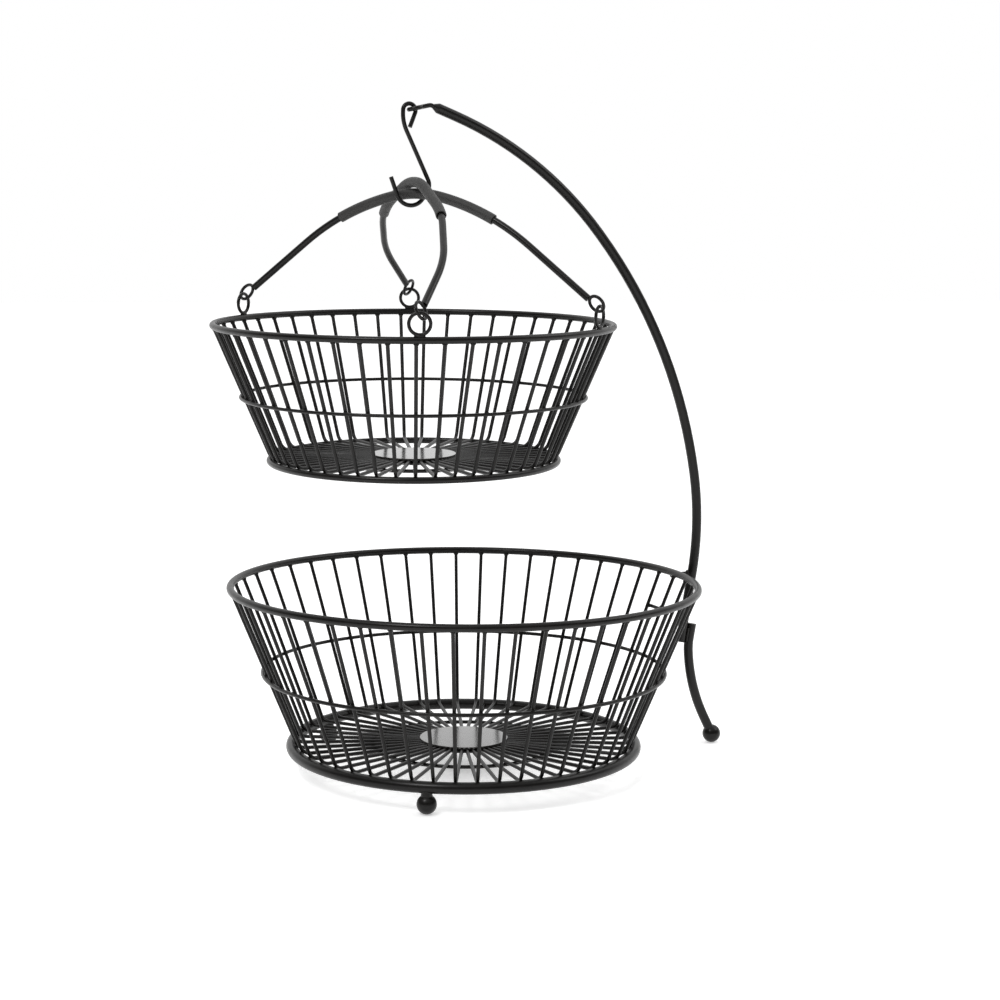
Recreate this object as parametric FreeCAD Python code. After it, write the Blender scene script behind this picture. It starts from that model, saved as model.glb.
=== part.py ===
"""Two-tier wire produce basket: a standing basket, a bent arm, an S-hook and a hanging basket.

Millimetres, +Z up, the table top at z = 0.  The arm and the leg lie in the plane y = 0.
Sizes below are measured from the axis of the lower basket.  At export everything moves
along X, so that the origin is under the middle of the whole object.
"""
import FreeCAD, Part
import os
from math import acos, asin, atan, atan2, cos, degrees, hypot, radians, sin, sqrt, tan

# ---- driving dimensions -------------------------------------------------------------
WELD_GAP = 0.02            # hairline left between parts that are welded together
RUNNING_GAP = 0.5          # room between loose parts that hang in one another

WIRE_COUNT = 48            # wires in each basket wall
WIRE_D = 2.35
WIRE_BEND_R = 7.0          # where a wall wire turns into the floor
WIRE_INNER_R = 22.0        # wires stop under the hub disc
GROUPS = 4                 # the wires of a basket are handed over in four groups
LOWER_WIRE_START = 66.7    # the lower wires are set by hand: closest together round this
LOWER_CROWDING = 2.0       # angle and its opposite, by this many degrees at most,
LOWER_LAG = 1.0            # and those opposite it have crept on by twice this

LOWER_RIM_R = 150.0
LOWER_RIM_D = 4.8
LOWER_RIM_Z = 120.5
LOWER_MID_D = 2.4
LOWER_MID_DROP = 54.5      # middle ring, below the rim
LOWER_BASE_R = 111.45
LOWER_BASE_D = 7.4
LOWER_BASE_Z = 16.3
LOWER_FLOOR_RISE = 1.7     # floor wires, above the middle of the base ring
LOWER_FLOOR_RING_R = 59.5
LOWER_HUB_R = 28.5
HUB_PLATE_INSET = 2.5      # backing plate is this much smaller than the disc in radius
HUB_THICK = 1.0
STRUT_ANGLES = (60.0, 180.0, 300.0)

BALL_D = 12.3
BALL_Z = 6.0               # the ball is flattened a little where it stands
NECK_D_LOW = 8.3
NECK_D_HIGH = 6.6
NECK_TOP_Z = 14.4
FOOT_ANGLE = 123.6         # the two feet under the basket, either side of the arm's plane

TUBE_D = 6.4               # arm and leg
ARM_END_X = 158.6
ARM_END_Z = 72.0
ARM_END_LEAN = 9.75        # the arm's lower end leans in from upright
ARM_BENDS = (              # from the lower end up: straight run, bend radius, bend angle
    (46.4, 207.0, 19.3),
    (0.0, 332.0, 30.25),
    (2.5, 239.0, 30.0),
    (12.3, 0.0, 0.0),
)
CRIMP_LENGTH = 3.0
TIP_WIRE_D = 2.8
TIP_RISE = 1.2             # the tip wire leaves the crimp straight, then turns down
TIP_BEND_R = 3.5
TIP_BEND = 33.0
TIP_RUN = 5.6
TIP_EYE_R = 3.9
LEG_TOP_Z = 84.0
LEG_BENDS = (              # from the top down
    (9.9, 40.0, 13.2),
    (0.0, 115.2, 23.7),
    (8.4, 0.0, 0.0),
)
WELD_BEAD_D = 1.6
WELD_BEAD_LENGTH = 9.0
STAY_D = 2.6
UPPER_STAY_Z = 118.8
LOWER_STAY_Z = 95.7
CROSS_BAR_D = 2.4
CROSS_BAR_Y = 3.0          # middle of the bar across the two wires nearest the arm
CROSS_BAR_LENGTH = 21.0

HOOK_D = 2.7
HOOK_LOOP_R = 4.1
HOOK_START_ANGLE = 68.5
HOOK_END_RUN = 9.5
HOOK_LOOP_BEND = 199.5
HOOK_BENDS = (             # after the top loop, down to the free tip
    (1.4, 23.7, 27.8),
    (32.95, 8.0, -62.0),
    (5.0, 9.6, -123.3),
    (11.8, 0.0, 0.0),
)
HOOK_LOOP_DROP = 0.5       # the loop hangs this much below the middle of the eye's wire

UPPER_X = -35.4
UPPER_RIM_Z = 288.0
UPPER_TILT_X = 0.0162      # the hanging basket sits a little off level: rise per mm along X
UPPER_TILT_Y = 0.0340      # and along Y
UPPER_RIM_R = 125.2
UPPER_RIM_D = 4.2
UPPER_MID_D = 2.1
UPPER_MID_DROP = 44.1
UPPER_BASE_R = 91.0
UPPER_BASE_D = 4.2
UPPER_BASE_DROP = 85.2
UPPER_FLOOR_RISE = 1.6
UPPER_FLOOR_RING_R = 48.0
UPPER_HUB_R = 26.5
UPPER_WIRE_START = 69.75
UPPER_LAG = -1.85

EYE_R = 6.2
EYE_WIRE_D = 2.1
LOOP_R = 5.2
LOOP_WIRE_D = 2.0
LOOP_TWIST = 33.0          # each end loop is turned about its own length
BAIL_D = 4.3
SLEEVE_D = 6.6
SLEEVE_BORE = 5.2
SLEEVE_HALF = 56.0
BAIL_A_ANGLE = 132.1
BAIL_A_TOP = 81.3          # height of the handle's middle above the rim
BAIL_A_CROWN_R = 73.0
BAIL_A_CROWN = 13.2
BAIL_A_SIDE_R = 160.0
BAIL_A_SIDE = 24.5
BAIL_A_RUN = 49.7
BAIL_B_ANGLE = 70.7
BAIL_B_CROSSING = 0.3      # gap between the two sleeves where they cross
BAIL_B_CORNERS = (         # along the handle, sideways, down from the top
    (-117.5, -2.5, 68.8),
    (-88.0, -15.2, 44.7),
    (-46.0, -15.2, 17.5),
    (-9.0, -3.3, 0.0),
    (9.0, 3.8, 0.0),
    (46.0, 20.0, 17.5),
    (88.0, 17.5, 44.7),
    (117.5, 2.5, 68.8),
)
BAIL_B_RADII = (85.0, 85.0, 40.0, 40.0, 85.0, 85.0)

# ---- worked out from them -----------------------------------------------------------
PLANE_NORMAL = FreeCAD.Vector(0, 0, 1)
BAIL_B_TOP = BAIL_A_TOP + SLEEVE_D + BAIL_B_CROSSING
EYE_HEIGHT = UPPER_RIM_D / 2 + EYE_WIRE_D / 2 + EYE_R + WELD_GAP


def vec(x, y, z):
    return FreeCAD.Vector(x, y, z)


def turned(shape, angle):
    """A copy turned about the Z axis."""
    copy = shape.copy()
    copy.rotate(vec(0, 0, 0), vec(0, 0, 1), angle)
    return copy


def ring(radius, wire_d, z=0.0):
    return Part.makeTorus(radius, wire_d / 2, vec(0, 0, z))


def rod(start, end, diameter):
    return Part.makeCylinder(diameter / 2, (end - start).Length, start, end - start)


def heading(angle):
    """Unit vector in the XZ plane."""
    return vec(cos(radians(angle)), 0, sin(radians(angle)))


def bend_path(start, angle, steps):
    """Edges of a wire bent in the XZ plane, with its end point and its last direction."""
    edges = []
    here = start
    for run, radius, bend in steps:
        if run > 0:
            there = here + heading(angle) * run
            edges.append(Part.LineSegment(here, there).toShape())
            here = there
        if bend:
            side = 1 if bend > 0 else -1
            centre = here + heading(angle + 90 * side) * radius
            middle = centre - heading(angle + bend / 2 + 90 * side) * radius
            there = centre - heading(angle + bend + 90 * side) * radius
            edges.append(Part.Arc(here, middle, there).toShape())
            here = there
            angle += bend
    return edges, here, angle


def corner_path(corners, radii):
    """Edges through the corners, each inner corner rounded to its radius."""
    edges = []
    here = corners[0]
    for before, corner, after, radius in zip(corners, corners[1:], corners[2:], radii):
        back = (before - corner).normalize()
        onward = (after - corner).normalize()
        half = acos(back.dot(onward)) / 2
        setback = radius / tan(half)
        first = corner + back * setback
        last = corner + onward * setback
        inward = (back + onward).normalize()
        middle = corner + inward * (radius / sin(half) - radius)
        if (first - here).Length > 1e-4:
            edges.append(Part.LineSegment(here, first).toShape())
        edges.append(Part.Arc(first, middle, last).toShape())
        here = last
    edges.append(Part.LineSegment(here, corners[-1]).toShape())
    return edges


def middle_of(edges, half_length):
    """The stretch of a path within half_length of its middle."""
    total = sum(edge.Length for edge in edges)
    low = total / 2 - half_length
    high = total / 2 + half_length
    kept = []
    done = 0.0
    for edge in edges:
        start = max(low - done, 0.0)
        end = min(high - done, edge.Length)
        if end - start > 1e-6:
            first = edge.getParameterByLength(start)
            last = edge.getParameterByLength(end)
            kept.append(edge.Curve.toShape(first, last))
        done += edge.Length
    return kept


def swept(edges, diameter):
    """A round bar along tangent lines and arcs."""
    first = edges[0]
    start = first.valueAt(first.FirstParameter)
    along = first.tangentAt(first.FirstParameter)
    section = Part.Wire([Part.makeCircle(diameter / 2, start, along)])
    solid = Part.Wire(edges).makePipeShell([section], True, True)
    return solid if solid.ShapeType == "Solid" else Part.Solid(solid)


# ---- basket pieces, shared by both tiers --------------------------------------------
class Basket:
    """Rings, wires and hub of one basket, with z measured from the middle of its rim."""

    def __init__(self, rim_r, rim_d, mid_d, mid_drop, base_r, base_d, base_drop,
                 floor_rise, floor_ring_r, hub_r, spacing):
        self.rim_r = rim_r
        self.rim_d = rim_d
        self.mid_d = mid_d
        self.mid_drop = mid_drop
        self.base_r = base_r
        self.base_d = base_d
        self.base_z = -base_drop
        self.floor_z = self.base_z + floor_rise
        self.floor_ring_r = floor_ring_r
        self.hub_r = hub_r
        self.spacing = spacing
        self.find_wall()

    def find_wall(self):
        """The wall wire points at the rim's middle and its bend rests on the base ring."""
        bend_z = self.floor_z + WIRE_BEND_R
        reach = WIRE_BEND_R + (self.base_d + WIRE_D) / 2 + WELD_GAP
        bend_r = self.base_r - sqrt(reach ** 2 - (bend_z - self.base_z) ** 2)
        run = hypot(self.rim_r - bend_r, bend_z)
        lean = atan2(self.rim_r - bend_r, -bend_z) - asin(WIRE_BEND_R / run)
        self.lean = degrees(lean)
        self.wall_length = sqrt(run ** 2 - WIRE_BEND_R ** 2)

    def wall_r(self, z):
        """Radius of the wall wires' middle line at height z."""
        return self.rim_r + z * tan(radians(self.lean))

    def rim(self):
        return ring(self.rim_r, self.rim_d)

    def mid_ring(self):
        off = (self.mid_d + WIRE_D) / 2 + WELD_GAP
        lean = radians(self.lean)
        return ring(self.wall_r(-self.mid_drop) + off * cos(lean), self.mid_d,
                    -self.mid_drop - off * sin(lean))

    def base_ring(self):
        return ring(self.base_r, self.base_d, self.base_z)

    def under_floor(self, diameter):
        """Height of the middle of something round welded under the floor wires."""
        return self.floor_z - (WIRE_D + diameter) / 2 - WELD_GAP

    def floor_ring(self):
        return ring(self.floor_ring_r, WIRE_D, self.under_floor(WIRE_D))

    def wire(self):
        """One wire: down the wall, round its bend and along the floor to the hub."""
        down = -90 - self.lean
        top_gap = self.rim_d / 2 + WELD_GAP
        start = vec(self.rim_r, 0, 0) + heading(down) * top_gap
        turn = -(90 - self.lean)
        steps = ((self.wall_length - top_gap, WIRE_BEND_R, turn),)
        edges, here, angle = bend_path(start, down, steps)
        edges.append(Part.LineSegment(here, vec(WIRE_INNER_R, 0, self.floor_z)).toShape())
        return swept(edges, WIRE_D)

    def wire_angles(self):
        """Where the wires stand round the rim."""
        start, crowding, lag = self.spacing
        angles = []
        for k in range(WIRE_COUNT):
            off = (k + 0.5) * 360.0 / WIRE_COUNT
            shift = lag * (1 - cos(radians(off))) - crowding * sin(radians(2 * off))
            angles.append(start + off + shift)
        return angles

    def wire_group(self, number):
        one = self.wire()
        each = WIRE_COUNT // GROUPS
        angles = self.wire_angles()[number * each:(number + 1) * each]
        return Part.makeCompound([turned(one, angle) for angle in angles])

    def hub_disc(self):
        bottom = self.floor_z + WIRE_D / 2 + WELD_GAP
        return Part.makeCylinder(self.hub_r, HUB_THICK, vec(0, 0, bottom))

    def hub_plate(self):
        top = self.floor_z - WIRE_D / 2 - WELD_GAP
        return Part.makeCylinder(self.hub_r - HUB_PLATE_INSET, HUB_THICK,
                                 vec(0, 0, top - HUB_THICK))

    def strut(self):
        """Radial strut under the floor, from the floor ring out to the base ring."""
        z = self.under_floor(WIRE_D)
        inner = self.floor_ring_r + WIRE_D / 2 + WELD_GAP
        outer = self.base_r - self.base_d / 2 - WELD_GAP
        return rod(vec(inner, 0, z), vec(outer, 0, z), WIRE_D)

    def pieces(self, name):
        found = {
            name + "_rim": self.rim(),
            name + "_mid_ring": self.mid_ring(),
            name + "_base_ring": self.base_ring(),
            name + "_floor_ring": self.floor_ring(),
            name + "_hub_disc": self.hub_disc(),
            name + "_hub_plate": self.hub_plate(),
        }
        for number in range(GROUPS):
            found["%s_wires_%d" % (name, number + 1)] = self.wire_group(number)
        return found


LOWER = Basket(LOWER_RIM_R, LOWER_RIM_D, LOWER_MID_D, LOWER_MID_DROP,
               LOWER_BASE_R, LOWER_BASE_D, LOWER_RIM_Z - LOWER_BASE_Z,
               LOWER_FLOOR_RISE, LOWER_FLOOR_RING_R, LOWER_HUB_R,
               (LOWER_WIRE_START, LOWER_CROWDING, LOWER_LAG))
UPPER = Basket(UPPER_RIM_R, UPPER_RIM_D, UPPER_MID_D, UPPER_MID_DROP,
               UPPER_BASE_R, UPPER_BASE_D, UPPER_BASE_DROP,
               UPPER_FLOOR_RISE, UPPER_FLOOR_RING_R, UPPER_HUB_R,
               (UPPER_WIRE_START, 0.0, UPPER_LAG))


# ---- feet, leg and arm --------------------------------------------------------------
def flattened_ball(x):
    """A ball with a small flat where it stands on the table."""
    ball = Part.makeSphere(BALL_D / 2, vec(x, 0, BALL_Z))
    below = Part.makeBox(BALL_D, BALL_D, BALL_D, vec(x - BALL_D / 2, -BALL_D / 2, -BALL_D))
    return ball.cut(below)


def basket_foot():
    """Ball with a tapered neck, shaped to fit under the base ring."""
    neck = Part.makeCone(NECK_D_LOW / 2, NECK_D_HIGH / 2, NECK_TOP_Z - BALL_Z,
                         vec(LOWER_BASE_R, 0, BALL_Z))
    seat = ring(LOWER_BASE_R, LOWER_BASE_D + 2 * WELD_GAP, LOWER_BASE_Z)
    return flattened_ball(LOWER_BASE_R).fuse(neck.cut(seat)).removeSplitter()


def arm_path():
    return bend_path(vec(ARM_END_X, 0, ARM_END_Z), 90 - ARM_END_LEAN, ARM_BENDS)


def arm_tube():
    """The arm, with its upper end crimped down to the tip wire."""
    edges, top, angle = arm_path()
    crimp = Part.makeCone(TUBE_D / 2, TIP_WIRE_D / 2 + 0.3, CRIMP_LENGTH, top, heading(angle))
    return swept(edges, TUBE_D).fuse(crimp).removeSplitter()


def tip_frame():
    """Where the tip wire starts, its bent path, and the eye's centre and direction."""
    _, top, angle = arm_path()
    start = top + heading(angle) * (CRIMP_LENGTH + WELD_GAP)
    steps = ((TIP_RISE, TIP_BEND_R, TIP_BEND), (TIP_RUN, 0.0, 0.0))
    edges, end, angle = bend_path(start, angle, steps)
    return edges, end + heading(angle) * TIP_EYE_R, angle


def arm_tip_eye():
    """Tip wire ending in a closed eye that lies nearly flat."""
    edges, centre, angle = tip_frame()
    eye = Part.makeTorus(TIP_EYE_R, TIP_WIRE_D / 2, centre, heading(angle + 90))
    return swept(edges, TIP_WIRE_D).fuse(eye).removeSplitter()


def eye_far_wire():
    """Middle of the eye's wire at its far side, where the S-hook hangs."""
    _, centre, angle = tip_frame()
    return centre + heading(angle) * TIP_EYE_R


def leg_start():
    """The leg's top lies against the arm's lower end, on the outer side."""
    lean = radians(ARM_END_LEAN)
    arm_x = ARM_END_X + (LEG_TOP_Z - ARM_END_Z) * tan(lean)
    return vec(arm_x + (TUBE_D + WELD_GAP) / cos(lean), 0, LEG_TOP_Z)


def leg_path():
    return bend_path(leg_start(), -90 - ARM_END_LEAN, LEG_BENDS)


def leg_tube():
    edges, _, _ = leg_path()
    return swept(edges, TUBE_D)


def leg_ball_x():
    _, end, angle = leg_path()
    drop = (end.z - BALL_Z) / -sin(radians(angle))
    return end.x + drop * cos(radians(angle))


def leg_ball_foot():
    """Ball with a stub that meets the end of the leg."""
    _, end, angle = leg_path()
    centre = vec(leg_ball_x(), 0, BALL_Z)
    stub_top = end + heading(angle) * WELD_GAP
    stub = rod(centre, stub_top, TUBE_D)
    return flattened_ball(centre.x).fuse(stub).removeSplitter()


def weld_beads():
    """Two beads in the grooves between the arm and the leg."""
    along = heading(90 - ARM_END_LEAN)
    across = heading(-ARM_END_LEAN)
    start = vec(ARM_END_X, 0, ARM_END_Z) + across * ((TUBE_D + WELD_GAP) / 2) + along * 1.0
    reach = (TUBE_D + WELD_BEAD_D) / 2 + WELD_GAP
    side = sqrt(reach ** 2 - ((TUBE_D + WELD_GAP) / 2) ** 2)
    beads = []
    for sign in (-1, 1):
        low = start + vec(0, sign * side, 0)
        beads.append(rod(low, low + along * WELD_BEAD_LENGTH, WELD_BEAD_D))
    return Part.makeCompound(beads)


def arm_inner_x(z):
    """The arm's inner side at height z, near its straight lower end."""
    lean = radians(ARM_END_LEAN)
    return ARM_END_X + (z - ARM_END_Z) * tan(lean) - TUBE_D / 2 / cos(lean)


def upper_stay():
    """Short stay from the rim to the arm."""
    start = LOWER_RIM_R + 1.0
    end = arm_inner_x(UPPER_STAY_Z - STAY_D / 2) - WELD_GAP - 0.15
    stay = rod(vec(start, 0, UPPER_STAY_Z), vec(end, 0, UPPER_STAY_Z), STAY_D)
    return stay.cut(ring(LOWER_RIM_R, LOWER_RIM_D + 2 * WELD_GAP, LOWER_RIM_Z))


def cross_bar_x():
    nearest = min(LOWER.wire_angles(), key=lambda angle: 1 - cos(radians(angle)))
    wire_x = LOWER.wall_r(LOWER_STAY_Z - LOWER_RIM_Z) * cos(radians(nearest))
    off = (WIRE_D + CROSS_BAR_D) / 2 + WELD_GAP
    return wire_x + off / cos(radians(LOWER.lean))


def stay_cross_bar():
    """Bar across the outside of the two wall wires nearest the arm."""
    x = cross_bar_x()
    half = CROSS_BAR_LENGTH / 2
    low = vec(x, CROSS_BAR_Y - half, LOWER_STAY_Z)
    high = vec(x, CROSS_BAR_Y + half, LOWER_STAY_Z)
    return rod(low, high, CROSS_BAR_D)


def lower_stay():
    """Short stay from the cross bar to the arm."""
    start = cross_bar_x() + CROSS_BAR_D / 2 + WELD_GAP
    end = arm_inner_x(LOWER_STAY_Z - STAY_D / 2) - WELD_GAP
    return rod(vec(start, 0, LOWER_STAY_Z), vec(end, 0, LOWER_STAY_Z), STAY_D)


# ---- S-hook -------------------------------------------------------------------------
def s_hook():
    """Top loop round the eye's far wire, a straight shank and an open lower bend."""
    centre = eye_far_wire() - vec(0, 0, HOOK_LOOP_DROP)
    loop_start = centre - heading(HOOK_START_ANGLE + 90) * HOOK_LOOP_R
    start = loop_start - heading(HOOK_START_ANGLE) * HOOK_END_RUN
    steps = ((HOOK_END_RUN, HOOK_LOOP_R, HOOK_LOOP_BEND),) + HOOK_BENDS
    edges, _, _ = bend_path(start, HOOK_START_ANGLE, steps)
    return swept(edges, HOOK_D)


# ---- eyes and bail handles ----------------------------------------------------------
def rim_eye(angle):
    """Ring standing on top of the rim, facing outward."""
    eye = Part.makeTorus(EYE_R, EYE_WIRE_D / 2, vec(UPPER_RIM_R, 0, EYE_HEIGHT), vec(1, 0, 0))
    return turned(eye, angle)


def end_loop(rod_end, side):
    """Loop on the end of a handle, through the rim eye and round its top."""
    eye_top = vec(side * UPPER_RIM_R, 0, EYE_HEIGHT + EYE_R)
    along = (eye_top - rod_end).normalize()
    past_eye = (EYE_WIRE_D + LOOP_WIRE_D) / 2 + RUNNING_GAP
    centre = eye_top + along * (past_eye - LOOP_R)
    sideways = (vec(0, 1, 0) - along * along.y).normalize()
    loop = Part.makeTorus(LOOP_R, LOOP_WIRE_D / 2, centre, sideways)
    loop.rotate(centre, along, LOOP_TWIST)
    return loop


def bail_a_path():
    """A plain arch: a tight crown, easier sides and straight ends."""
    steps = (
        (BAIL_A_RUN, BAIL_A_SIDE_R, -BAIL_A_SIDE),
        (0.0, BAIL_A_CROWN_R, -2 * BAIL_A_CROWN),
        (0.0, BAIL_A_SIDE_R, -BAIL_A_SIDE),
        (BAIL_A_RUN, 0.0, 0.0),
    )
    start_angle = BAIL_A_SIDE + BAIL_A_CROWN
    _, end, _ = bend_path(vec(0, 0, 0), start_angle, steps)
    crown = radians(BAIL_A_CROWN)
    whole = radians(start_angle)
    drop = BAIL_A_CROWN_R * (1 - cos(crown)) + BAIL_A_SIDE_R * (cos(crown) - cos(whole))
    drop += BAIL_A_RUN * sin(whole)
    start = vec(-end.x / 2, 0, BAIL_A_TOP - drop)
    edges, end, _ = bend_path(start, start_angle, steps)
    return edges, start, end


def bail_b_path():
    """The same arch with its middle swung round, so that its sides bow out sideways."""
    corners = [vec(s, side, BAIL_B_TOP - drop) for s, side, drop in BAIL_B_CORNERS]
    return corner_path(corners, BAIL_B_RADII), corners[0], corners[-1]


def bail_pieces(name, path):
    """Rod, loose sleeve and two end loops, in the handle's own frame."""
    edges, start, end = path
    outer = swept(middle_of(edges, SLEEVE_HALF), SLEEVE_D)
    bore = swept(middle_of(edges, SLEEVE_HALF + 1.0), SLEEVE_BORE)
    return {
        name + "_rod": swept(edges, BAIL_D),
        name + "_sleeve": outer.cut(bore),
        name + "_loop_1": end_loop(start, -1),
        name + "_loop_2": end_loop(end, 1),
    }


def upper_placement():
    """The hanging basket's frame: rim centre, leaning a little off level."""
    normal = vec(-UPPER_TILT_X, -UPPER_TILT_Y, 1).normalize()
    return FreeCAD.Placement(vec(UPPER_X, 0, UPPER_RIM_Z), FreeCAD.Rotation(PLANE_NORMAL, normal))


def bail_placement(angle):
    """A handle stands in an upright plane and leans along it with the basket's rim."""
    rise = UPPER_TILT_X * cos(radians(angle)) + UPPER_TILT_Y * sin(radians(angle))
    lean = FreeCAD.Rotation(vec(0, 1, 0), -degrees(atan(rise)))
    spin = FreeCAD.Rotation(vec(0, 0, 1), angle)
    return FreeCAD.Placement(vec(UPPER_X, 0, UPPER_RIM_Z), spin.multiply(lean))


def moved(shape, placement):
    copy = shape.copy()
    copy.Placement = placement.multiply(copy.Placement)
    return copy


# ---- the whole object ---------------------------------------------------------------
def all_pieces():
    nodes = {}
    lower_place = FreeCAD.Placement(vec(0, 0, LOWER_RIM_Z), FreeCAD.Rotation())
    for name, shape in LOWER.pieces("lower").items():
        nodes[name] = moved(shape, lower_place)
    for number, angle in enumerate(STRUT_ANGLES):
        nodes["floor_strut_%d" % (number + 1)] = moved(turned(LOWER.strut(), angle), lower_place)
    nodes["front_ball_foot"] = turned(basket_foot(), -FOOT_ANGLE)
    nodes["rear_ball_foot"] = turned(basket_foot(), FOOT_ANGLE)
    nodes["leg_tube"] = leg_tube()
    nodes["leg_ball_foot"] = leg_ball_foot()
    nodes["arm_tube"] = arm_tube()
    nodes["arm_tip_eye"] = arm_tip_eye()
    nodes["upper_stay"] = upper_stay()
    nodes["lower_stay"] = lower_stay()
    nodes["stay_cross_bar"] = stay_cross_bar()
    nodes["tube_weld_beads"] = weld_beads()
    nodes["s_hook"] = s_hook()

    upper_place = upper_placement()
    for name, shape in UPPER.pieces("upper").items():
        nodes[name] = moved(shape, upper_place)
    eye_angles = (BAIL_A_ANGLE, BAIL_A_ANGLE - 180, BAIL_B_ANGLE, BAIL_B_ANGLE - 180)
    for number, angle in enumerate(eye_angles):
        nodes["rim_eye_%d" % (number + 1)] = moved(rim_eye(angle), upper_place)
    handles = (
        ("bail_a", bail_a_path(), BAIL_A_ANGLE),
        ("bail_b", bail_b_path(), BAIL_B_ANGLE),
    )
    for name, path, angle in handles:
        for node, shape in bail_pieces(name, path).items():
            nodes[node] = moved(shape, bail_placement(angle))
    return nodes


def middle_x():
    """Middle of the whole object along X, from the hanging rim to the leg's ball."""
    right = leg_ball_x() + BALL_D / 2
    tilt = cos(atan(UPPER_TILT_X))
    left = UPPER_X - UPPER_RIM_R * tilt - UPPER_RIM_D / 2
    return (left + right) / 2


def main():
    os.makedirs("parts", exist_ok=True)
    shift = vec(-middle_x(), 0, 0)
    for name, shape in all_pieces().items():
        shape.translate(shift)
        shape.exportStep("parts/%s.step" % name)
        print(name, shape.isValid(), len(shape.Solids), round(shape.Volume, 1))


main()
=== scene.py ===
"""Looks, light and camera for the two-tier wire produce basket.

The CAD pieces keep their shapes and get their finish here.  The weld spots that join
wires, rings, eyes and stays are added as small pieces.  Lengths are in metres.
"""
from math import cos, pi, radians, sin

import bmesh
import bpy
from mathutils import Matrix, Vector


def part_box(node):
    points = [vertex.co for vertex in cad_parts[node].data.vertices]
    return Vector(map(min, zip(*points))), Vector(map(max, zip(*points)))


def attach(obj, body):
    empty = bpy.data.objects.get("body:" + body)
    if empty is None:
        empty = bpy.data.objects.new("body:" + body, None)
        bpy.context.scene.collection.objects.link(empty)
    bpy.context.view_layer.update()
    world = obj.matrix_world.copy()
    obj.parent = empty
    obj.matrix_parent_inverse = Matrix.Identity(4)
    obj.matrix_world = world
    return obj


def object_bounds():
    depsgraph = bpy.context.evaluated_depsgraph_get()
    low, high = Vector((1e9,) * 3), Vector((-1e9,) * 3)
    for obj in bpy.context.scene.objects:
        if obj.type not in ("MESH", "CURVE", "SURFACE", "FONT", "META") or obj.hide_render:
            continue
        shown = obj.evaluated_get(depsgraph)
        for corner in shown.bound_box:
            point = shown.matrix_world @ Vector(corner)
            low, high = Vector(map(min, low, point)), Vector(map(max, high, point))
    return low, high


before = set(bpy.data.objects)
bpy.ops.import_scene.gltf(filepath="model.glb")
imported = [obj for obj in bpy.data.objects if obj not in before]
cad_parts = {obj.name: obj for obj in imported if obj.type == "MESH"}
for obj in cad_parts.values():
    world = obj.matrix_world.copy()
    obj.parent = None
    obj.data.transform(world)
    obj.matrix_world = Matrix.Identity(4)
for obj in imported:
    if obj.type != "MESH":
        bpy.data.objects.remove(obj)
cad_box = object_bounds()

# ---- sizes that repeat those of the CAD ---------------------------------------------
WIRE_COUNT = 48
WIRE_SPACING = {                    # degrees: start, crowding, lag
    "lower": (66.7, 2.0, 1.0),
    "upper": (69.75, 0.0, -1.85),
}
WALL_LEAN = {"lower": radians(22.26), "upper": radians(22.84)}
RING_WIRE = {
    "lower_rim": 0.0048,
    "lower_mid_ring": 0.0024,
    "lower_base_ring": 0.0074,
    "upper_rim": 0.0042,
    "upper_mid_ring": 0.0021,
    "upper_base_ring": 0.0042,
}
UPPER_RISE_X = 0.0162
UPPER_RISE_Y = 0.0340
BODY_OF = {"lower": "stand", "upper": "upper_basket"}
EYE_COUNT = 4

# ---- weld spots: three radii each ---------------------------------------------------
RIM_SPOT = (0.00155, 0.00175, 0.0012)
MID_SPOT = (0.0007, 0.0014, 0.0012)
BASE_SPOT = (0.0012, 0.0015, 0.0010)
EYE_SPOT = (0.0015, 0.0034, 0.0012)
STAY_SPOT = (0.0013, 0.0024, 0.0024)
BAR_SPOT = (0.0010, 0.0016, 0.0015)
RIM_SPOT_SINK = 0.0002             # below the underside of the rim's wire
EYE_SPOT_RISE = 0.0004             # above the top of the rim's wire
BAR_SPOT_INWARD = 0.0013
BAR_SPOT_RISE = 0.0003
BASE_SPOT_SIDE = Vector((-0.75, 0, 0.66)).normalized()    # up and inward on the base ring

# ---- camera -------------------------------------------------------------------------
CAMERA_PLACE = Vector((-0.4870, -1.1549, 0.3304))
CAMERA_HEADING = radians(23.3)      # of the view, from +Y towards +X
CAMERA_PITCH = radians(7.066)       # looking down
CAMERA_ROLL = radians(0.481)
CAMERA_LENS = 70.52

SENSOR_WIDTH = 36.0

# ---- light and floor ----------------------------------------------------------------
NEAR_SIDE_LIGHT = 0.10             # strength of the room on the near side
WALL_LIGHT = 0.80
CEILING_LIGHT = 0.75
FLOOR_GLOW = 0.45                  # lifts the shadows on the white floor
FLOOR_HALF = 12.0
FLOOR_DROP = 0.0002                # keeps the floor just under the feet
WHITE = (1.0, 1.0, 1.0, 1.0)
LIGHT_TARGET = Vector((0.0, 0.0, 0.18))
LIGHTS = (                         # name, place, size, power
    ("key_light", Vector((-1.3, -0.9, 1.9)), 0.6, 16.0),
    ("fill_light", Vector((1.5, -0.6, 1.5)), 0.9, 7.0),
)


# ---- materials ----------------------------------------------------------------------
GLOSS_SPREAD = 0.07                # how far the coat's roughness wanders either way
RAMP_STOPS = (0.35, 0.65)


def new_material(name):
    material = bpy.data.materials.new(name)
    material.use_nodes = True
    nodes = material.node_tree.nodes
    nodes.clear()
    output = nodes.new("ShaderNodeOutputMaterial")
    shader = nodes.new("ShaderNodeBsdfPrincipled")
    material.node_tree.links.new(shader.outputs["BSDF"], output.inputs["Surface"])
    return material, nodes, material.node_tree.links, shader


def noise(nodes, links, place, scale, detail):
    """Noise texture on the object's own coordinates."""
    texture = nodes.new("ShaderNodeTexNoise")
    texture.inputs["Scale"].default_value = scale
    texture.inputs["Detail"].default_value = detail
    links.new(place.outputs["Object"], texture.inputs["Vector"])
    return texture


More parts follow.
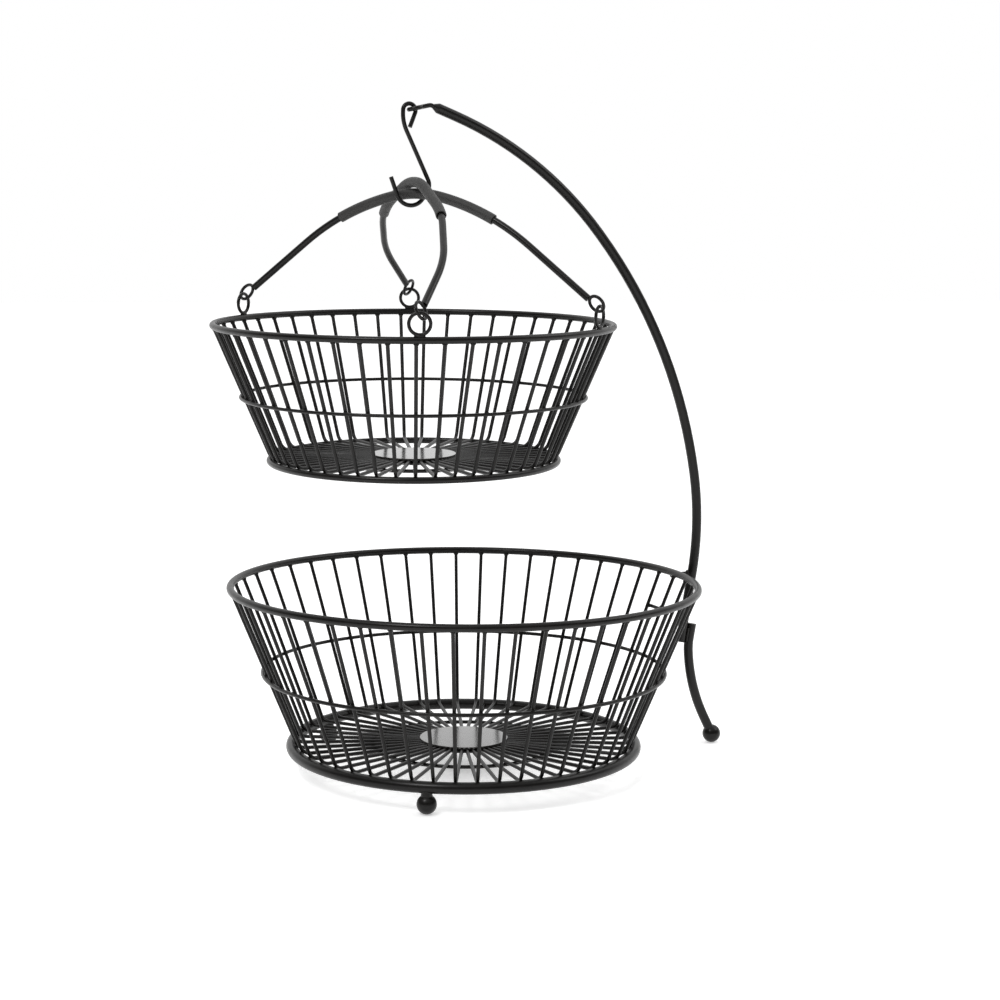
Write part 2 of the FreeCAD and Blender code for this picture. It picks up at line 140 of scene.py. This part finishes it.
def ramp(nodes, links, source, low, high):
    """Colour ramp from low to high over the middle stretch of the source."""
    node = nodes.new("ShaderNodeValToRGB")
    node.color_ramp.elements[0].position = RAMP_STOPS[0]
    node.color_ramp.elements[1].position = RAMP_STOPS[1]
    node.color_ramp.elements[0].color = (*low, 1.0)
    node.color_ramp.elements[1].color = (*high, 1.0)
    links.new(source, node.inputs["Fac"])
    return node


def spread(nodes, links, source, low, high):
    """Maps a source between 0 and 1 to between low and high."""
    node = nodes.new("ShaderNodeMapRange")
    node.inputs["To Min"].default_value = low
    node.inputs["To Max"].default_value = high
    links.new(source, node.inputs["Value"])
    return node


def add_bump(nodes, links, shader, source, strength, distance):
    bump = nodes.new("ShaderNodeBump")
    bump.inputs["Strength"].default_value = strength
    bump.inputs["Distance"].default_value = distance
    links.new(source, bump.inputs["Height"])
    links.new(bump.outputs["Normal"], shader.inputs["Normal"])


def coated_metal(name, dark, light, rough, grain, peel_depth, specular, coat):
    """Satin black coating: slow drifts of colour, fine orange peel and uneven gloss."""
    material, nodes, links, shader = new_material(name)
    place = nodes.new("ShaderNodeTexCoord")
    drift = noise(nodes, links, place, 45.0, 3.0)
    colour = ramp(nodes, links, drift.outputs["Fac"], dark, light)
    links.new(colour.outputs["Color"], shader.inputs["Base Color"])
    patches = noise(nodes, links, place, 160.0, 4.0)
    gloss = spread(nodes, links, patches.outputs["Fac"], rough - GLOSS_SPREAD,
                   rough + GLOSS_SPREAD)
    links.new(gloss.outputs["Result"], shader.inputs["Roughness"])
    peel = noise(nodes, links, place, grain, 2.0)
    add_bump(nodes, links, shader, peel.outputs["Fac"], peel_depth, 0.0002)
    shader.inputs["Specular IOR Level"].default_value = specular
    shader.inputs["Coat Weight"].default_value = coat
    shader.inputs["Coat Roughness"].default_value = 0.12
    return material


def grip_vinyl():
    """Soft matte sleeve with a faint rubbed look."""
    material, nodes, links, shader = new_material("grip_vinyl_finish")
    place = nodes.new("ShaderNodeTexCoord")
    drift = noise(nodes, links, place, 60.0, 4.0)
    colour = ramp(nodes, links, drift.outputs["Fac"], GRIP_DARK, GRIP_LIGHT)
    links.new(colour.outputs["Color"], shader.inputs["Base Color"])
    rub = noise(nodes, links, place, 240.0, 3.0)
    gloss = spread(nodes, links, rub.outputs["Fac"], 0.52, 0.68)
    links.new(gloss.outputs["Result"], shader.inputs["Roughness"])
    fine = noise(nodes, links, place, 2600.0, 2.0)
    add_bump(nodes, links, shader, fine.outputs["Fac"], 0.3, 0.00015)
    shader.inputs["Sheen Weight"].default_value = 0.08
    shader.inputs["Sheen Roughness"].default_value = 0.5
    return material


COAT_DARK = (0.0032, 0.0028, 0.0025)
COAT_LIGHT = (0.0060, 0.0052, 0.0046)
# disc: the same black paint as the coat, but its base colour is about ten times lighter; this
# lift is painted reflection of the bright wall, and the clear coat adds the real reflection on
# top
DISC_SHEEN_DARK = (0.030, 0.029, 0.027)
DISC_SHEEN_LIGHT = (0.036, 0.034, 0.032)
GRIP_DARK = (0.014, 0.0135, 0.013)
GRIP_LIGHT = (0.022, 0.021, 0.020)

# name, dark, light, roughness, grain, depth of the peel, specular level, clear coat
BLACK = coated_metal("black_coat_finish", COAT_DARK, COAT_LIGHT, 0.33, 1400.0, 0.20, 0.24, 0.05)
WELD = coated_metal("weld_coat_finish", COAT_DARK, COAT_LIGHT, 0.42, 900.0, 0.25, 0.24, 0.0)
# the disc's lighter base colour is painted reflection; its clear coat reflects the room for real
DISC_PAINTED_SHEEN = coated_metal("disc_coat_painted_sheen", DISC_SHEEN_DARK, DISC_SHEEN_LIGHT, 0.18, 1100.0, 0.01, 0.5, 0.9)
GRIP = grip_vinyl()


def finish_nodes():
    """Each CAD piece gets the finish of its part."""
    for name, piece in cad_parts.items():
        material = BLACK
        if name.endswith("sleeve"):
            material = GRIP
        elif name.endswith("hub_disc"):
            material = DISC_PAINTED_SHEEN
        if not piece.material_slots:
            piece.data.materials.append(material)
        for slot in piece.material_slots:
            slot.material = material


# ---- weld spots ---------------------------------------------------------------------
def ring_facts(node):
    """Middle of a ring and the radius of its wire's middle line."""
    low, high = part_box(node)
    centre = (Vector(low) + Vector(high)) / 2
    return centre, (high[0] - low[0]) / 2 - RING_WIRE[node] / 2


def wire_angle(tier, number):
    """Where a wall wire stands round the rim; the CAD sets them a little unevenly."""
    start, crowding, lag = WIRE_SPACING[tier]
    off = (number + 0.5) * 2 * pi / WIRE_COUNT
    shift = lag * (1 - cos(off)) - crowding * sin(2 * off)
    return radians(start + shift) + off


def tier_turn(tier):
    """Rotation of the hanging basket off level; none for the standing one."""
    if tier == "lower":
        return Matrix.Identity(3)
    normal = Vector((-UPPER_RISE_X, -UPPER_RISE_Y, 1.0))
    return Vector((0, 0, 1)).rotation_difference(normal).to_matrix()


def blob_mesh(name, blobs):
    """One mesh of smooth flattened drops; each blob is a place, three radii and a turn."""
    mesh = bpy.data.meshes.new(name)
    bm = bmesh.new()
    for place, radii, turn in blobs:
        shape = Matrix.Translation(place) @ turn.to_4x4() @ Matrix.Diagonal((*radii, 1.0))
        bmesh.ops.create_icosphere(bm, subdivisions=2, radius=1.0, matrix=shape)
    for face in bm.faces:
        face.smooth = True
    bm.to_mesh(mesh)
    bm.free()
    piece = bpy.data.objects.new(name, mesh)
    bpy.context.scene.collection.objects.link(piece)
    piece.data.materials.append(WELD)
    return piece


def wall_welds(tier):
    """Spots where each wall wire meets the rim, the middle ring and the base ring."""
    lean = WALL_LEAN[tier]
    down = Vector((-sin(lean), 0, -cos(lean)))
    outward = Vector((cos(lean), 0, -sin(lean)))
    turn = tier_turn(tier)
    rim_centre, rim_r = ring_facts(tier + "_rim")
    rim_d = RING_WIRE[tier + "_rim"]
    mid_centre, mid_r = ring_facts(tier + "_mid_ring")
    base_centre, base_r = ring_facts(tier + "_base_ring")
    base_d = RING_WIRE[tier + "_base_ring"]
    mid_z = -(rim_centre - mid_centre).length
    base_z = -(rim_centre - base_centre).length
    tilt_down = Matrix.Rotation(lean, 3, "Y")
    spots = []
    for k in range(WIRE_COUNT):
        around = Matrix.Rotation(wire_angle(tier, k), 3, "Z")
        full = turn @ around
        top = Vector((rim_r, 0, 0)) + down * (rim_d / 2 + RIM_SPOT_SINK)
        spots.append((rim_centre + full @ top, RIM_SPOT, full @ tilt_down))
        mid = Vector((mid_r, 0, mid_z)) - outward * (RING_WIRE[tier + "_mid_ring"] / 2)
        spots.append((rim_centre + full @ mid, MID_SPOT, full @ tilt_down))
        low = Vector((base_r, 0, base_z)) + BASE_SPOT_SIDE * (base_d / 2)
        spots.append((rim_centre + full @ low, BASE_SPOT, full))
    welds = blob_mesh(tier + "_wall_welds", spots)
    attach(welds, BODY_OF[tier])


def eye_welds():
    """A puddle of weld under each upright eye on the rim."""
    spots = []
    turn = tier_turn("upper")
    rim_centre, rim_r = ring_facts("upper_rim")
    rim_d = RING_WIRE["upper_rim"]
    for number in range(1, EYE_COUNT + 1):
        low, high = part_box("rim_eye_%d" % number)
        middle = (Vector(low) + Vector(high)) / 2 - rim_centre
        flat = turn.inverted() @ middle
        flat.z = 0
        clockwise = Vector((1, 0)).angle_signed(Vector((flat.x, flat.y)))
        spin = Matrix.Rotation(-clockwise, 3, "Z")
        place = spin @ Vector((rim_r, 0, rim_d / 2 + EYE_SPOT_RISE))
        spots.append((rim_centre + turn @ place, EYE_SPOT, turn @ spin))
    welds = blob_mesh("rim_eye_welds", spots)
    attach(welds, "upper_basket")


def stand_welds():
    """Spots at both stays and at the cross bar."""
    level = Matrix.Identity(3)
    spots = []
    for node in ("upper_stay", "lower_stay"):
        low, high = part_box(node)
        z = (low[2] + high[2]) / 2
        for x in (low[0], high[0]):
            spots.append((Vector((x, 0, z)), STAY_SPOT, level))
    low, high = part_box("stay_cross_bar")
    centre = (Vector(low) + Vector(high)) / 2
    reach = centre.x - ring_facts("lower_rim")[0].x
    for number in range(WIRE_COUNT):
        angle = wire_angle("lower", number)
        y = reach * sin(angle)
        if low[1] < y < high[1] and cos(angle) > 0:
            place = Vector((centre.x - BAR_SPOT_INWARD, y, centre.z + BAR_SPOT_RISE))
            spots.append((place, BAR_SPOT, level))
    welds = blob_mesh("stand_welds", spots)
    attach(welds, "stand")


# ---- floor, light and camera --------------------------------------------------------
def floor():
    mesh = bpy.data.meshes.new("floor")
    half = FLOOR_HALF
    corners = [(-half, -half, 0), (half, -half, 0), (half, half, 0), (-half, half, 0)]
    mesh.from_pydata(corners, [], [(0, 1, 2, 3)])
    piece = bpy.data.objects.new("floor", mesh)
    bpy.context.scene.collection.objects.link(piece)
    piece.location.z = cad_box[0][2] - FLOOR_DROP
    material, nodes, links, shader = new_material("floor_paper")
    place = nodes.new("ShaderNodeTexCoord")
    grain = noise(nodes, links, place, 30.0, 3.0)
    colour = ramp(nodes, links, grain.outputs["Fac"], (0.93, 0.93, 0.93), (0.95, 0.95, 0.95))
    links.new(colour.outputs["Color"], shader.inputs["Base Color"])
    shader.inputs["Roughness"].default_value = 0.95
    shader.inputs["Specular IOR Level"].default_value = 0.1
    shader.inputs["Emission Color"].default_value = WHITE
    shader.inputs["Emission Strength"].default_value = FLOOR_GLOW
    piece.data.materials.append(material)


def mixed(nodes, links, first, second, operation="ADD"):
    """Sum or product of two values."""
    node = nodes.new("ShaderNodeMath")
    node.operation = operation
    for place, value in enumerate((first, second)):
        if isinstance(value, float):
            node.inputs[place].default_value = value
        else:
            links.new(value, node.inputs[place])
    return node.outputs["Value"]


def glow(nodes, links, place, direction, start, end, strength):
    """Light that grows smoothly from start to end of the cosine to a direction."""
    dot = nodes.new("ShaderNodeVectorMath")
    dot.operation = "DOT_PRODUCT"
    dot.inputs[1].default_value = direction
    links.new(place.outputs["Generated"], dot.inputs[0])
    fade = nodes.new("ShaderNodeMapRange")
    fade.interpolation_type = "SMOOTHSTEP"
    fade.inputs["From Min"].default_value = start
    fade.inputs["From Max"].default_value = end
    fade.inputs["To Max"].default_value = strength
    links.new(dot.outputs["Value"], fade.inputs["Value"])
    return fade.outputs["Result"]


def surroundings():
    """A white room: bright wall behind the object, bright ceiling, dimmer on the near side."""
    world = bpy.data.worlds.new("studio")
    world.use_nodes = True
    nodes = world.node_tree.nodes
    links = world.node_tree.links
    background = nodes["Background"]
    place = nodes.new("ShaderNodeTexCoord")
    behind = (sin(CAMERA_HEADING), cos(CAMERA_HEADING), 0.0)
    wall = glow(nodes, links, place, behind, -0.1, 0.7, WALL_LIGHT)
    ceiling = glow(nodes, links, place, (0.0, 0.0, 1.0), 0.3, 0.95, CEILING_LIGHT)
    light = mixed(nodes, links, mixed(nodes, links, wall, ceiling), NEAR_SIDE_LIGHT)
    seen = nodes.new("ShaderNodeLightPath").outputs["Is Camera Ray"]
    strength = nodes.new("ShaderNodeMix")
    links.new(seen, strength.inputs["Factor"])
    links.new(light, strength.inputs["A"])
    strength.inputs["B"].default_value = 1.0
    links.new(strength.outputs["Result"], background.inputs["Strength"])
    background.inputs["Color"].default_value = WHITE
    bpy.context.scene.world = world


def studio():
    """Surroundings, with one large soft light high at the left and a weaker one at the right."""
    surroundings()
    for name, place, size, power in LIGHTS:
        light = bpy.data.lights.new(name, "AREA")
        light.size = size
        light.energy = power
        lamp = bpy.data.objects.new(name, light)
        lamp.location = place
        lamp.rotation_euler = (LIGHT_TARGET - place).to_track_quat("-Z", "Y").to_euler()
        bpy.context.scene.collection.objects.link(lamp)
    bpy.context.scene.view_settings.view_transform = "Standard"


def camera():
    """Camera at the picture's viewing angle."""
    ahead = Vector((sin(CAMERA_HEADING), cos(CAMERA_HEADING), 0))
    forward = ahead * cos(CAMERA_PITCH) - Vector((0, 0, sin(CAMERA_PITCH)))
    level_right = Vector((cos(CAMERA_HEADING), -sin(CAMERA_HEADING), 0))
    level_up = level_right.cross(forward)
    right = level_right * cos(CAMERA_ROLL) + level_up * sin(CAMERA_ROLL)
    up = right.cross(forward)
    data = bpy.data.cameras.new("camera")
    data.lens = CAMERA_LENS
    data.sensor_width = SENSOR_WIDTH
    piece = bpy.data.objects.new("camera", data)
    piece.matrix_world = Matrix((
        (right.x, up.x, -forward.x, CAMERA_PLACE.x),
        (right.y, up.y, -forward.y, CAMERA_PLACE.y),
        (right.z, up.z, -forward.z, CAMERA_PLACE.z),
        (0, 0, 0, 1),
    ))
    bpy.context.scene.collection.objects.link(piece)
    bpy.context.scene.camera = piece


finish_nodes()
for tier_name in ("lower", "upper"):
    wall_welds(tier_name)
eye_welds()
stand_welds()
floor()
studio()
camera()
